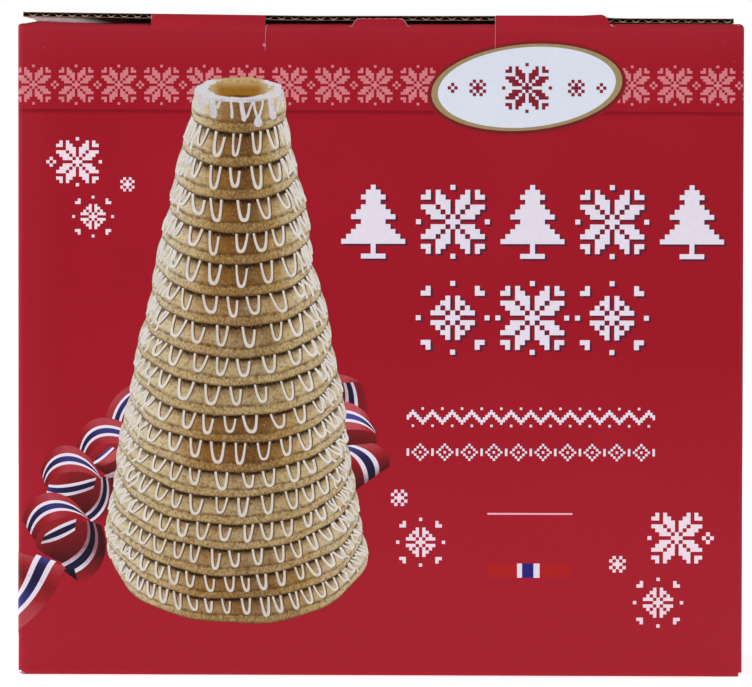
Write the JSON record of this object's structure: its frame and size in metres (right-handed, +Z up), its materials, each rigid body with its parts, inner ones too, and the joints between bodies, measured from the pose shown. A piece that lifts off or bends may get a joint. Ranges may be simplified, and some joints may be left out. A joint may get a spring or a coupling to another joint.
{
  "type": "shut printed carton for a ring cake",
  "caption": "Shut upright carton of red-printed corrugated board with knitted stars, striped ribbons and an iced ring cake pictured on its front, and a fluted lid edge on top.",
  "frame": {"origin": "middle of the underside, on the surface that the carton stands on", "axes": "+Z up, front with the pictured cake faces -Y, +X to the right seen from the front"},
  "size_m": [0.31, 0.13, 0.2838],
  "materials": {
    "printed_board": "red print with a satin varnish over fine fluting",
    "kraft_board": "raw brown board edges and flutes",
    "board_liner": "pale uncoated inner liner and cut edges",
    "white_ink": "white of the coated board",
    "pink_ink": "pink tint of the knitted stars",
    "dark_ink": "dark plum print",
    "blue_ink": "dark blue print",
    "gold_ink": "dull gold print",
    "cake_print": "baked browns and icing whites of the printed cake"
  },
  "bodies": {
    "root": {"carton": "printed_board"}
  },
  "joints": []
}
